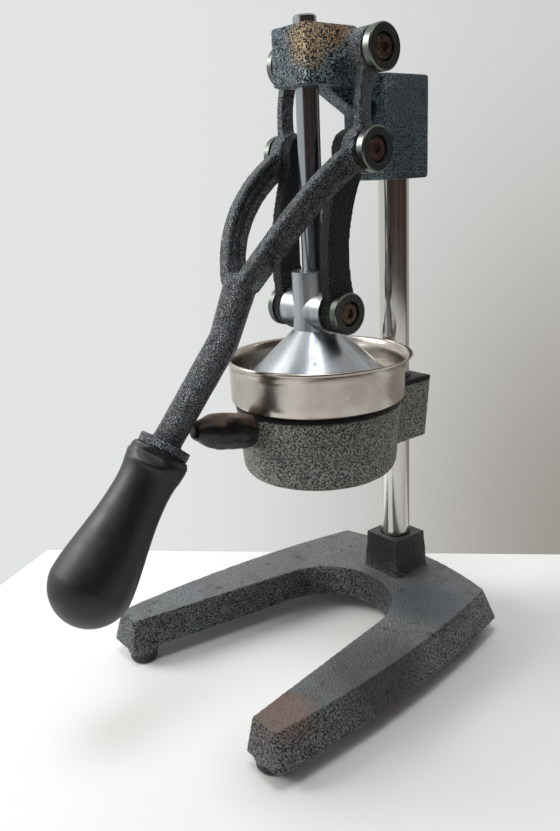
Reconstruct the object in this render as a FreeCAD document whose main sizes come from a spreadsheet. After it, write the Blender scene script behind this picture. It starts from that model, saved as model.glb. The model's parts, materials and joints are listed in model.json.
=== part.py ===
import FreeCAD, Part
import math
import os
import re

import Sketcher
from FreeCAD import Placement, Rotation, Vector

# Lever citrus juice press. Millimetres, +Z up, the front and the handle's grip face -Y.
# Heights are measured from the surface that the press stands on. In the lists below, y is
# measured from the press axis, and every piece is then shifted so that the origin is at the
# middle of the footprint.

SIZES = {
    # base and feet
    "foot_height": 12,
    "foot_radius": 10,
    "foot_edge": 1.8,
    "foot_taper": 1.2,
    "foot_front_inset": 9,
    "foot_front_side_inset": 16,
    "foot_rear_inset": 12,
    "foot_rear_side_inset": 11.5,
    "foot_screw_radius": 2,
    "foot_screw_head_radius": 4.5,
    "foot_screw_head_height": 3,
    "foot_screw_recess": 1.5,
    "foot_screw_depth": 11,
    "base_thickness": 24,
    "base_draft": 7,
    "base_front_draft": 4,
    "base_inner_draft": 3,
    "base_front": 124.5,
    "base_rear": 96,
    "base_rear_bow": 12.5,
    "base_side_bow_radius": 800,
    "base_front_half_width": 93.5,
    "base_rear_half_width": 75.5,
    "leg_inner_front": 71,
    "leg_inner_rear": 50.5,
    "opening_end_radius": 50.7,
    "opening_corner_y": 3,
    "leg_corner": 5,
    "leg_inner_corner": 1.5,
    "boss_half_width": 18,
    "boss_height": 30,
    "boss_draft_angle": 3.2,
    # column and what holds it
    "column_y": 78,
    "column_radius": 11,
    "column_floor": 9,
    "column_chamfer": 1.2,
    "column_bolt_radius": 5,
    "column_bolt_length": 26,
    "column_bolt_head_radius": 9.2,
    "column_bolt_head_height": 6.4,
    "column_washer_radius": 12,
    "column_washer_thickness": 2,
    "counterbore_depth": 9,
    "seat_clearance": 0.05,
    "set_screw_radius": 4,
    "set_screw_stand_out": 1.2,
    "set_screw_socket_radius": 2.2,
    "set_screw_socket_depth": 2.8,
    "cut_overrun": 1,
    # pivots: the head pivot, the fork pivot below it and the cone pivot below that
    "head_pivot_y": 20,
    "head_pivot_z": 413,
    "crank_length": 57.4,
    "crank_lean": 6.5,
    "link_length": 101,
    "eye_radius": 13.4,
    "pin_radius": 5,
    "pin_clearance": 0.08,
    "side_gap": 0.3,
    # pivot washers and screws
    "washer_radius": 13.6,
    "washer_thickness": 5.4,
    "washer_hub_radius": 10.8,
    "washer_hub": 2.3,
    "cone_washer_hub": 0.1,
    "washer_rim": 0.8,
    "washer_recess_radius": 8.4,
    "washer_recess": 3.6,
    "screw_head_radius": 7,
    "screw_head_height": 2.9,
    "socket_radius": 3.4,
    "socket_depth": 2,
    "pin_depth": 13,
    "pin_hole_floor": 3,
    # head casting
    "head_front": 15,
    "head_half_width": 16.3,
    "head_top_above": 17,
    "head_bottom_above": -18,
    "head_block_rear": 30,
    "head_edge": 2.5,
    "arm_half_width": 13,
    "arm_drop": 12,
    "gusset_half_width": 8,
    "gusset_front": 10,
    "gusset_foot_above": -41,
    "rear_block_front": 48.5,
    "rear_block_rear": 94,
    "rear_block_half_width": 19,
    "rear_block_top_above": -9,
    "rear_block_bottom_above": -76,
    "rear_block_roof": 9,
    "head_set_screw_above": -44,
    # press rod and press cone
    "rod_radius": 7.4,
    "rod_clearance": 0.08,
    "rod_stand_out": 6,
    "rod_chamfer": 1,
    "neck_radius": 14.8,
    "neck_top_above": 25.92,
    "neck_bottom_above": -12.88,
    "neck_edge": 1,
    "cone_boss_face": 19.5,
    "cone_boss_radius": 14.6,
    "cone_bowl_gap": 4.1,
    "cone_rim_height": 5,
    "cone_rim_bottom_above": -55.88,
    "cone_wall": 4,
    "cone_lip_height": 2,
    "cone_lip_width": 1.5,
    "cone_ceiling_radius": 13,
    "cone_ceiling_above": -26.88,
    "rod_screw_radius": 4,
    "rod_screw_length": 24,
    "rod_screw_head_radius": 6.5,
    "rod_screw_head_height": 4.5,
    "rod_screw_head_edge": 1,
    "rod_washer_radius": 9,
    "rod_washer_thickness": 1.5,
    # lower links
    "link_thickness": 9,
    "link_web_front": 18,
    "link_web_rear": 0.5,
    "link_web_end": 11.5,
    "link_web_start": 5,
    # cup holder
    "cup_top_above": -60.88,
    "cup_bottom_above": -52.5,
    "cup_taper": 4.5,
    "cup_wall": 4.5,
    "cup_floor": 6,
    "cup_corner": 9,
    "cup_mouth": 12,
    "cup_drain_radius": 36,
    "clamp_half_width": 20,
    "clamp_rear": 97,
    "clamp_rear_draft": 6,
    "clamp_bottom_above": -46.5,
    "clamp_front": 46,
    "holder_set_screw_above": -22,
    # bowl and strainer cone
    "bowl_rim_above": 31,
    "bowl_radius": 60.7,
    "bowl_overhang": 2.7,
    "bowl_taper": 0.6,
    "bowl_wall": 1.6,
    "bowl_bead_radius": 1.75,
    "bowl_bead_height": 3.4,
    "bowl_corner": 1.6,
    "bowl_seat_above": 0.3,
    "bowl_step_above": -4,
    "bowl_step_width": 5,
    "bowl_floor_above": -28,
    "bowl_spout_radius": 13,
    "bowl_spout_bottom_above": -46,
    "bowl_fit": 0.3,
    "strainer_flange": 2.4,
    "strainer_foot_radius": 43,
    "strainer_top_above": 24,
    "strainer_tip_radius": 6,
    "strainer_tip_drop": 2.5,
    "strainer_wall": 3,
    "strainer_ribs": 12,
    "rib_height": 2.4,
    "rib_thickness": 2.2,
    "slot_width": 3,
    "slot_length": 9,
    "slot_place": 31,
    # bumper on the cup's front
    "bumper_above": -11,
    "bumper_rise": 13,
    "bumper_radius": 13,
    "bumper_root_radius": 11.5,
    "bumper_nose_radius": 7.5,
    "bumper_nose_round": 5,
    "bumper_belly": 20,
    "bumper_lug": 2.5,
    "bumper_lug_thickness": 6.5,
    "bumper_screw_radius": 3,
    "bumper_screw_length": 23,
    "bumper_screw_head_radius": 4.8,
    "bumper_screw_head_height": 3,
    "spot_face_gap": 1,
    # handle casting and grip
    "fork_end_y": -61,
    "fork_end_above": -76.97,
    "fork_start_slope": 24,
    "fork_arm_width": 11,
    "fork_arm_depth": 17,
    "fork_ridge": 1.6,
    "fork_spread": 34.9,
    "fork_join": 6,
    "fork_curve": 2.6,
    "bar_nose_share": 0.93,
    "boss_radius": 14.4,
    "eye_thickness": 11.2,
    "upper_arm_thickness": 6,
    "upper_arm_inset": 4.6,
    "upper_arm_front": 7.5,
    "upper_arm_front_rise": 2.8,
    "upper_arm_rear": 5,
    "upper_arm_rear_rise": 4.5,
    "upper_arm_start": 6,
    "bar_slope": 49.4,
    "bar_bend_y": -76.5,
    "bar_bend_above": -109.47,
    "bar_length": 72.2,
    "bar_nose_radius": 6.5,
    "bar_top_radius": 10.8,
    "bar_radius": 10,
    "bar_end_radius": 9.4,
    "collar_radius": 16.6,
    "collar_thickness": 6.5,
    "tang_radius": 6,
    "tang_length": 86,
    "tang_clearance": 0.1,
    "grip_slope": 51.3,
    "grip_length": 113.3,
    "grip_top_radius": 18.3,
    "grip_edge": 1.5,
    "grip_waist_radius": 17.9,
    "grip_waist": 24,
    "grip_flank_radius": 22.2,
    "grip_flank": 61,
    "grip_waist_sag": 1.2,
    "grip_bulb_sag": 0.8,
    "grip_bulb_radius": 25.6,
    "grip_gap": 0.3,
}


# Every other height is given above one of these, or below it where its size is negative.
MEASURED_FROM = {
    "head_pivot_z": ("head_top", "head_bottom", "gusset_foot_z", "rear_block_top",
                     "rear_block_bottom", "head_set_screw_z"),
    "fork_pivot_z": ("fork_end_z", "bar_bend_z"),
    "cone_pivot_z": ("neck_top", "neck_bottom", "cone_rim_bottom", "cone_ceiling_z", "cup_top"),
    "cup_top": ("cup_bottom", "clamp_bottom", "holder_set_screw_z", "bowl_rim_z", "bowl_seat_z",
                "bowl_step_z", "bowl_floor_z", "bowl_spout_bottom", "strainer_top_z", "bumper_z"),
}


def worked_out(given):
    """Sizes that follow from the driving ones."""
    lean = math.radians(given["crank_lean"])
    fork_y = given["head_pivot_y"] - given["crank_length"] * math.sin(lean)
    fork_z = given["head_pivot_z"] - given["crank_length"] * math.cos(lean)
    heights = {
        "head_pivot_z": given["head_pivot_z"],
        "fork_pivot_z": fork_z,
        "cone_pivot_z": fork_z - math.sqrt(given["link_length"] ** 2 - fork_y ** 2),
    }
    for datum, names in MEASURED_FROM.items():
        for name in names:
            heights[name] = heights[datum] + given[name.removesuffix("_z") + "_above"]
    cup_top_radius = given["bowl_radius"] - given["bowl_overhang"]
    slope = math.radians(given["bar_slope"])
    collar_y = given["bar_bend_y"] - given["bar_length"] * math.cos(slope)
    collar_z = heights["bar_bend_z"] - given["bar_length"] * math.sin(slope)
    bulb = given["grip_length"] - given["grip_bulb_radius"]
    lean_of_grip = math.cos(math.radians(given["grip_slope"]))
    front = (given["grip_bulb_radius"] - collar_y
             + (given["collar_thickness"] + bulb) * lean_of_grip)
    rise = math.radians(given["bumper_rise"])
    seat_y = -(cup_top_radius + given["bumper_lug"])
    facing = math.cos(rise) * math.sin(slope) + math.sin(rise) * math.cos(slope)
    tipping = math.cos(rise) * math.cos(slope) - math.sin(rise) * math.sin(slope)
    to_bar = ((seat_y - given["bar_bend_y"]) * math.sin(slope)
              - (heights["bumper_z"] - heights["bar_bend_z"]) * math.cos(slope))
    nose_flat = given["bumper_nose_radius"] - given["bumper_nose_round"]
    nose = (to_bar - given["bar_radius"] - given["side_gap"] - given["bumper_nose_round"]
            - nose_flat * tipping) / facing
    rear = given["base_rear"] + given["base_rear_bow"] + given["base_draft"]
    link_outer = given["cone_boss_face"] + given["side_gap"] + given["link_thickness"]
    return {
        **heights,
        "foot_front_x": given["base_front_half_width"] - given["foot_front_side_inset"],
        "foot_front_y": given["foot_front_inset"] - given["base_front"],
        "foot_rear_x": given["base_rear_half_width"] - given["foot_rear_side_inset"],
        "foot_rear_y": given["base_rear"] - given["foot_rear_inset"],
        "base_top": given["foot_height"] + given["base_thickness"],
        "boss_top": given["foot_height"] + given["base_thickness"] + given["boss_height"],
        "column_bottom": given["foot_height"] + given["counterbore_depth"] + given["column_floor"],
        "column_top": heights["rear_block_top"] - given["rear_block_roof"],
        "fork_pivot_y": fork_y,
        "link_turn": math.degrees(math.asin(fork_y / given["link_length"])),
        "link_inner": given["cone_boss_face"] + given["side_gap"],
        "link_outer": link_outer,
        "eye_inner": link_outer + given["side_gap"],
        "eye_outer": link_outer + given["side_gap"] + given["eye_thickness"],
        "neck_floor": heights["neck_bottom"] - heights["cone_ceiling_z"],
        "cone_rim_radius": given["bowl_radius"] - given["bowl_wall"] - given["cone_bowl_gap"],
        "cup_top_radius": cup_top_radius,
        "cup_bottom_radius": cup_top_radius - given["cup_taper"],
        "bumper_length": nose + given["bumper_nose_round"],
        "collar_y": collar_y,
        "collar_z": collar_z,
        "shift_y": (front - rear) / 2,
    }


doc = FreeCAD.newDocument("CitrusPress")
sheet = doc.addObject("Spreadsheet::Sheet", "Sizes")
SIZES.update(worked_out(SIZES))
for row, (alias, millimetres) in enumerate(SIZES.items(), start=1):
    sheet.set(f"A{row}", alias)
    sheet.set(f"B{row}", repr(millimetres))
    sheet.setAlias(f"B{row}", alias)
doc.recompute()

NAME = re.compile(r"\b[a-z]+(?:_[a-z]+)+\b")


def bound(formula):
    """A formula in size names, as an expression that reads the sheet."""
    return NAME.sub(lambda found: "Sizes." + found.group(0), str(formula))


def number(formula):
    result = sheet.evalExpression(bound(formula))
    return float(getattr(result, "Value", result))


def size(name):
    return float(sheet.get(name))


def new_body(label, x="0", y="0", z="0", axis=Vector(0, 0, 1), angle="0"):
    """A body whose own origin stands at x, y, z from the press axis, turned about an axis."""
    body = doc.addObject("PartDesign::Body", label)
    body.Label = label
    body.Placement = Placement(Vector(), Rotation(axis, number(angle)))
    if angle != "0":
        body.setExpression("Placement.Rotation.Angle", bound(angle))
    body.setExpression("Placement.Base.x", bound(x))
    body.setExpression("Placement.Base.y", bound(f"{y} + shift_y"))
    body.setExpression("Placement.Base.z", bound(z))
    return body


def origin_plane(body, role):
    return next(item for item in body.Origin.OriginFeatures if item.Role == role)


def new_sketch(body, name, role, height="0"):
    """A sketch on one of the body's origin planes, raised along its normal."""
    sketch = body.newObject("Sketcher::SketchObject", f"{body.Name}_{name}")
    sketch.AttachmentSupport = (origin_plane(body, role), "")
    sketch.MapMode = "FlatFace"
    sketch.setExpression("AttachmentOffset.Base.z", bound(height))
    return sketch


def hold_distance(sketch, kind, geometry, end, formula):
    """Ties one coordinate of a point to a formula."""
    axis = -2 if kind == "DistanceX" else -1
    if str(formula) == "0":
        sketch.addConstraint(Sketcher.Constraint("PointOnObject", geometry, end, axis))
        return
    index = sketch.addConstraint(
        Sketcher.Constraint(kind, -1, 1, geometry, end, number(formula)))
    sketch.setExpression(f"Constraints[{index}]", bound(formula))


def add_arc(sketch, start, finish, radius):
    """An arc from start to finish. A radius above 0 turns left, below 0 right."""
    chord = finish - start
    half = chord.Length / 2
    rise = math.sqrt(max(radius * radius - half * half, 0.0))
    left = Vector(-chord.y, chord.x, 0).normalize()
    centre = (start + finish) * 0.5 + left * (rise if radius > 0 else -rise)
    first, last = (start, finish) if radius > 0 else (finish, start)
    first_angle = math.atan2(first.y - centre.y, first.x - centre.x)
    last_angle = math.atan2(last.y - centre.y, last.x - centre.x)
    circle = Part.Circle(centre, Vector(0, 0, 1), abs(radius))
    index = sketch.addGeometry(Part.ArcOfCircle(circle, first_angle, last_angle))
    return index, (1, 2) if radius > 0 else (2, 1)


def draw(sketch, corners):
    """A closed outline. Each corner is x, y and, where an arc leads to it, its radius."""
    spots = [Vector(number(corner[0]), number(corner[1]), 0) for corner in corners]
    edges = []
    for place, corner in enumerate(corners):
        start = spots[place - 1]
        if len(corner) == 3:
            index, ends = add_arc(sketch, start, spots[place], number(corner[2]))
            held = sketch.addConstraint(
                Sketcher.Constraint("Radius", index, abs(number(corner[2]))))
            sketch.setExpression(f"Constraints[{held}]", bound(f"abs({corner[2]})"))
        else:
            index = sketch.addGeometry(Part.LineSegment(start, spots[place]))
            ends = (1, 2)
        edges.append((index, ends))
    for place, corner in enumerate(corners):
        index, ends = edges[place]
        following, next_ends = edges[(place + 1) % len(edges)]
        sketch.addConstraint(Sketcher.Constraint(
            "Coincident", index, ends[1], following, next_ends[0]))
        hold_distance(sketch, "DistanceX", index, ends[1], corner[0])
        hold_distance(sketch, "DistanceY", index, ends[1], corner[1])


def bow(run, rise, sag):
    """The radius of an arc with this sag, over a chord with this run and rise."""
    return f"((({run}) ^ 2 + ({rise}) ^ 2) / (8 * {sag}) + {sag} / 2)"


def draw_circle(sketch, x, y, radius):
    centre = Vector(number(x), number(y), 0)
    index = sketch.addGeometry(Part.Circle(centre, Vector(0, 0, 1), number(radius)))
    held = sketch.addConstraint(Sketcher.Constraint("Radius", index, number(radius)))
    sketch.setExpression(f"Constraints[{held}]", bound(radius))
    hold_distance(sketch, "DistanceX", index, 3, x)
    hold_distance(sketch, "DistanceY", index, 3, y)


def turn(body, name, corners, sketch_role="XZ_Plane", axis="V_Axis"):
    """A turned piece: the outline is given as radius and height."""
    sketch = new_sketch(body, name, sketch_role)
    draw(sketch, corners)
    solid = body.newObject("PartDesign::Revolution", f"{body.Name}_{name}_turned")
    solid.Profile = sketch
    solid.ReferenceAxis = (sketch, [axis])
    solid.Angle = 360
    doc.recompute()
    return solid


def turn_away(body, name, corners, sketch_role="XZ_Plane", axis="V_Axis"):
    """A turned cut, checked to take something away."""
    before = body.Shape.Volume
    sketch = new_sketch(body, name, sketch_role)
    draw(sketch, corners)
    groove = body.newObject("PartDesign::Groove", f"{body.Name}_{name}_groove")
    groove.Profile = sketch
    groove.ReferenceAxis = (sketch, [axis])
    groove.Angle = 360
    doc.recompute()
    need_change(before, body, name)
    return groove


def need_change(before, body, name):
    if abs(body.Shape.Volume - before) < 1e-3:
        raise RuntimeError(f"{body.Label}: {name} changed nothing")


def pad(body, sketch, length, both_ways=False, taper=None):
    """Material along the sketch's normal, or half each way."""
    solid = body.newObject("PartDesign::Pad", f"{sketch.Name}_pad")
    solid.Profile = sketch
    solid.setExpression("Length", bound(length))
    solid.Midplane = both_ways
    if taper is not None:
        solid.setExpression("TaperAngle", bound(taper))
    doc.recompute()
    return solid


def cut(body, sketch, depth=None, backwards=False, both_ways=False):
    """A cut against the sketch's normal, along it when backwards, or right through."""
    before = body.Shape.Volume
    pocket = body.newObject("PartDesign::Pocket", f"{sketch.Name}_cut")
    pocket.Profile = sketch
    if depth is None:
        pocket.Type = "ThroughAll"
    else:
        pocket.setExpression("Length", bound(depth))
    pocket.Reversed = backwards
    pocket.Midplane = both_ways
    doc.recompute()
    need_change(before, body, sketch.Name)
    return pocket


def bore(body, name, role, height, x, y, radius, depth=None, backwards=False, both_ways=False):
    sketch = new_sketch(body, name, role, height)
    draw_circle(sketch, x, y, radius)
    return cut(body, sketch, depth, backwards, both_ways)


def loft(body, name, sections, ruled=True):
    """A solid through a row of sketches, straight between them or smooth along them."""
    solid = body.newObject("PartDesign::AdditiveLoft", f"{body.Name}_{name}")
    solid.Profile = sections[0]
    solid.Sections = sections[1:]
    solid.Ruled = ruled
    doc.recompute()
    return solid


def mirror_across(body, feature, role):
    """The feature again on the other side of one of the body's origin planes."""
    copy = body.newObject("PartDesign::Mirrored", f"{feature.Name}_mirrored")
    copy.Originals = [feature]
    copy.MirrorPlane = (origin_plane(body, role), [""])
    body.Tip = copy
    doc.recompute()
    return copy


def repeat_round(body, feature, role, copies):
    """The feature again, evenly round one of the body's origin axes."""
    ring = body.newObject("PartDesign::PolarPattern", f"{feature.Name}_ring")
    ring.Originals = [feature]
    ring.Axis = (origin_plane(body, role), [""])
    ring.Angle = 360
    ring.setExpression("Occurrences", bound(copies))
    body.Tip = ring
    doc.recompute()
    return ring


FEET = {
    "front_left": ("-foot_front_x", "foot_front_y"),
    "front_right": ("foot_front_x", "foot_front_y"),
    "rear_left": ("-foot_rear_x", "foot_rear_y"),
    "rear_right": ("foot_rear_x", "foot_rear_y"),
}
SIDES = {"left": -1, "right": 1}
ALONG_X = Vector(1, 0, 0)
AGAINST_X = Vector(-1, 0, 0)


def base_outline(body, name, height, spread, front_spread, inner_spread):
    """The base's U outline. The spread widens it for the drafted sides."""
    sketch = new_sketch(body, name, "XY_Plane", height)
    front = f"(-base_front - {front_spread})"
    rear = f"(base_rear + {spread})"
    outer = f"(base_front_half_width + {spread})"
    back = f"(base_rear_half_width + {spread})"
    inner = f"(leg_inner_front - {inner_spread})"
    end = f"(leg_inner_rear - {inner_spread})"
    bow = f"(({back} ^ 2 + base_rear_bow ^ 2) / (2 * base_rear_bow))"
    draw(sketch, [
        (f"-{end}", "opening_corner_y", f"opening_end_radius - {inner_spread}"),
        (f"-{inner}", f"{front} + leg_inner_corner"),
        (f"-{inner} - leg_inner_corner", front, "-leg_inner_corner"),
        (f"-{outer} + leg_corner", front),
        (f"-{outer}", f"{front} + leg_corner", "-leg_corner"),
        (f"-{back}", f"{rear} - leg_corner", "-base_side_bow_radius"),
        (f"-{back} + leg_corner", rear, "-leg_corner"),
        (f"{back} - leg_corner", rear, f"-{bow}"),
        (back, f"{rear} - leg_corner", "-leg_corner"),
        (outer, f"{front} + leg_corner", "-base_side_bow_radius"),
        (f"{outer} - leg_corner", front, "-leg_corner"),
        (f"{inner} + leg_inner_corner", front),
        (inner, f"{front} + leg_inner_corner", "-leg_inner_corner"),
        (end, "opening_corner_y"),
    ])
    return sketch


def base_casting():
    # U-shaped casting with drafted sides, open to the front, and a square boss at the back
    # with a deep bore for the column.
    body = new_body("base_casting")
    bottom = base_outline(body, "bottom", "foot_height", "base_draft", "base_front_draft",
                          "base_inner_draft")
    top = base_outline(body, "top", "base_top", "0", "0", "0")
    loft(body, "legs", [bottom, top])
    boss = new_sketch(body, "boss", "XY_Plane", "base_top")
    draw(boss, [
        ("-boss_half_width", "column_y - boss_half_width"),
        ("boss_half_width", "column_y - boss_half_width"),
        ("boss_half_width", "column_y + boss_half_width"),
        ("-boss_half_width", "column_y + boss_half_width"),
    ])
    pad(body, boss, "boss_height", taper="-boss_draft_angle")
    bore(body, "column_bore", "XY_Plane", "boss_top", "0", "column_y",
         "column_radius + seat_clearance", "boss_top - column_bottom")
    bore(body, "bolt_hole", "XY_Plane", "column_bottom", "0", "column_y",
         "column_bolt_radius + side_gap", "column_floor + cut_overrun")
    bore(body, "counterbore", "XY_Plane", "foot_height", "0", "column_y",
         "column_washer_radius + side_gap", "counterbore_depth", backwards=True)
    screws = new_sketch(body, "screw_holes", "XY_Plane", "foot_height")
    for x, y in FEET.values():
        draw_circle(screws, x, y, "foot_screw_radius + seat_clearance")
    cut(body, screws, "foot_screw_depth + side_gap", backwards=True)


def foot(name, x, y):
    # Soft rubber foot, rounded below, with a recess for its screw.
    body = new_body(f"foot_{name}", x, y)
    turn(body, "outline", [
        ("foot_screw_head_radius + side_gap", "0"),
        ("foot_radius - foot_edge", "0"),
        ("foot_radius", "foot_edge"),
        ("foot_radius - foot_taper", "foot_height"),
        ("foot_screw_radius + seat_clearance", "foot_height"),
        ("foot_screw_radius + seat_clearance", "foot_screw_recess + foot_screw_head_height"),
        ("foot_screw_head_radius + side_gap", "foot_screw_recess + foot_screw_head_height"),
    ])


def foot_screws():
    # Four pan-head screws, one up through each foot.
    body = new_body("foot_screws")
    heads = new_sketch(body, "heads", "XY_Plane", "foot_screw_recess")
    shanks = new_sketch(body, "shanks", "XY_Plane", "foot_screw_recess")
    for x, y in FEET.values():
        draw_circle(heads, x, y, "foot_screw_head_radius")
        draw_circle(shanks, x, y, "foot_screw_radius")
    pad(body, heads, "foot_screw_head_height")
    pad(body, shanks, "foot_height - foot_screw_recess + foot_screw_depth")


def column():
    # Chromed bar, tapped from below for its bolt.
    body = new_body("column", y="column_y")
    turn(body, "bar", [
        ("column_bolt_radius + seat_clearance", "column_bottom"),
        ("column_radius - column_chamfer", "column_bottom"),
        ("column_radius", "column_bottom + column_chamfer"),
        ("column_radius", "column_top - column_chamfer - side_gap"),
        ("column_radius - column_chamfer", "column_top - side_gap"),
        ("0", "column_top - side_gap"),
        ("0", "column_bottom + column_bolt_length - column_floor + side_gap"),
        ("column_bolt_radius + seat_clearance",
         "column_bottom + column_bolt_length - column_floor + side_gap"),
    ])


def column_bolt():
    # Hexagon-head bolt and its washer, up through the base's floor into the column.
    washer_bottom = "(foot_height + counterbore_depth - column_washer_thickness)"
    body = new_body("column_washer", y="column_y")
    turn(body, "ring", [
        ("column_bolt_radius + side_gap", washer_bottom),
        ("column_washer_radius", washer_bottom),
        ("column_washer_radius", f"{washer_bottom} + column_washer_thickness"),
        ("column_bolt_radius + side_gap", f"{washer_bottom} + column_washer_thickness"),
    ])
    body = new_body("column_bolt", y="column_y")
    head = new_sketch(body, "head", "XY_Plane", f"{washer_bottom} - column_bolt_head_height")
    draw(head, hexagon("column_bolt_head_radius"))
    pad(body, head, "column_bolt_head_height")
    shank = new_sketch(body, "shank", "XY_Plane", washer_bottom)
    draw_circle(shank, "0", "0", "column_bolt_radius")
    pad(body, shank, "column_bolt_length + column_washer_thickness")


def hexagon(radius):
    return [(f"{radius} * cos({60 * corner})", f"{radius} * sin({60 * corner})")
            for corner in range(6)]


def set_screw(name, z, wall_y):
    # Headless screw from the back of a clamp to the column, with a socket in its end.
    length = f"({wall_y} + set_screw_stand_out - column_y - column_radius)"
    body = new_body(name, y="column_y + column_radius", z=z)
    stud = new_sketch(body, "stud", "XZ_Plane")
    draw_circle(stud, "0", "0", "set_screw_radius")
    solid = pad(body, stud, length)
    solid.Reversed = True
    doc.recompute()
    socket = new_sketch(body, "socket", "XZ_Plane", f"-{length}")
    draw(socket, hexagon("set_screw_socket_radius"))
    cut(body, socket, "set_screw_socket_depth", backwards=True)


def head_casting():
    # Front block for the rod, rear block for the column, an arm and a gusset between them,
    # and a round boss on each side for the handle.
    body = new_body("head_casting")
    front = new_sketch(body, "front_block", "YZ_Plane")
    draw(front, [
        ("-head_front", "head_bottom + head_edge"),
        ("-head_front + head_edge", "head_bottom", "head_edge"),
        ("head_block_rear", "head_bottom"),
        ("head_block_rear", "head_top - head_edge"),
        ("head_block_rear - head_edge", "head_top", "head_edge"),
        ("-head_front + head_edge", "head_top"),
        ("-head_front", "head_top - head_edge", "head_edge"),
    ])
    pad(body, front, "2 * head_half_width", both_ways=True)
    rear = new_sketch(body, "rear_block", "YZ_Plane")
    draw(rear, [
        ("rear_block_front", "rear_block_bottom + head_edge"),
        ("rear_block_front + head_edge", "rear_block_bottom", "head_edge"),
        ("rear_block_rear - head_edge", "rear_block_bottom"),
        ("rear_block_rear", "rear_block_bottom + head_edge", "head_edge"),
        ("rear_block_rear", "rear_block_top - head_edge"),
        ("rear_block_rear - head_edge", "rear_block_top", "head_edge"),
        ("rear_block_front + head_edge", "rear_block_top"),
        ("rear_block_front", "rear_block_top - head_edge", "head_edge"),
    ])
    pad(body, rear, "2 * rear_block_half_width", both_ways=True)
    arm = new_sketch(body, "arm", "YZ_Plane")
    draw(arm, [
        ("head_block_rear - head_edge", "head_bottom"),
        ("rear_block_front + head_edge", "head_bottom - arm_drop"),
        ("rear_block_front + head_edge", "rear_block_top"),
        ("head_block_rear - head_edge", "head_top - head_edge"),
    ])
    pad(body, arm, "2 * arm_half_width", both_ways=True)
    gusset = new_sketch(body, "gusset", "YZ_Plane")
    draw(gusset, [
        ("gusset_front", "head_bottom + cut_overrun"),
        ("gusset_front", "head_bottom"),
        ("rear_block_front + head_edge", "gusset_foot_z"),
        ("rear_block_front + head_edge", "head_bottom + cut_overrun"),
    ])
    pad(body, gusset, "2 * gusset_half_width", both_ways=True)
    bosses = new_sketch(body, "bosses", "YZ_Plane")
    draw_circle(bosses, "head_pivot_y", "head_pivot_z", "eye_radius")
    pad(body, bosses, "2 * link_outer", both_ways=True)
    bore(body, "rod_bore", "XY_Plane", "head_top + cut_overrun", "0", "0",
         "rod_radius + rod_clearance", "head_top - head_bottom + 2 * cut_overrun")
    bore(body, "column_bore", "XY_Plane", "rear_block_bottom", "0", "column_y",
         "column_radius + seat_clearance", "column_top - rear_block_bottom", backwards=True)
    hole = bore(body, "pin_hole", "YZ_Plane", "link_outer", "head_pivot_y", "head_pivot_z",
                "pin_radius + seat_clearance", "pin_depth + side_gap")
    mirror_across(body, hole, "YZ_Plane")
    bore(body, "screw_hole", "XZ_Plane", "-rear_block_rear", "0", "head_set_screw_z",
         "set_screw_radius + seat_clearance", "rear_block_rear - column_y", backwards=True)


def press_rod():
    # Chromed rod that guides the press cone, tapped from below.
    body = new_body("press_rod")
    foot_z = "neck_bottom"
    turn(body, "rod", [
        ("rod_screw_radius + seat_clearance", foot_z),
        ("rod_radius - rod_chamfer", foot_z),
        ("rod_radius", f"{foot_z} + rod_chamfer"),
        ("rod_radius", "head_top + rod_stand_out - rod_chamfer"),
        ("rod_radius - rod_chamfer", "head_top + rod_stand_out"),
        ("0", "head_top + rod_stand_out"),
        ("0", f"{foot_z} + rod_screw_length - neck_floor + side_gap"),
        ("rod_screw_radius + seat_clearance",
         f"{foot_z} + rod_screw_length - neck_floor + side_gap"),
    ])


def press_cone():
    # Neck for the rod, two bosses for the links and a wide cone, hollow below.
    body = new_body("press_cone")
    rim_top = "(cone_rim_bottom + cone_rim_height)"
    turn(body, "bell", [
        ("0", "neck_bottom"),
        ("0", "cone_ceiling_z"),
        ("cone_ceiling_radius", "cone_ceiling_z"),
        ("cone_rim_radius - cone_wall", "cone_rim_bottom + cone_lip_height"),
        ("cone_rim_radius - cone_wall + cone_lip_width", "cone_rim_bottom"),
        ("cone_rim_radius", "cone_rim_bottom"),
        ("cone_rim_radius", rim_top),
        ("neck_radius", "neck_bottom"),
    ])
    neck = new_sketch(body, "neck", "XY_Plane", "neck_bottom - neck_edge")
    draw_circle(neck, "0", "0", "neck_radius")
    pad(body, neck, "neck_top - neck_bottom + neck_edge")
    bosses = new_sketch(body, "bosses", "YZ_Plane")
    draw_circle(bosses, "0", "cone_pivot_z", "cone_boss_radius")
    pad(body, bosses, "2 * cone_boss_face", both_ways=True)
    bore(body, "rod_bore", "XY_Plane", "neck_top", "0", "0", "rod_radius + seat_clearance",
         "neck_top - neck_bottom")
    bore(body, "screw_hole", "XY_Plane", "neck_bottom", "0", "0",
         "rod_screw_radius + side_gap", "neck_floor + cut_overrun")
    hole = bore(body, "pin_hole", "YZ_Plane", "cone_boss_face", "0", "cone_pivot_z",
                "pin_radius + seat_clearance", "cone_boss_face - rod_radius - pin_hole_floor")
    mirror_across(body, hole, "YZ_Plane")


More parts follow.
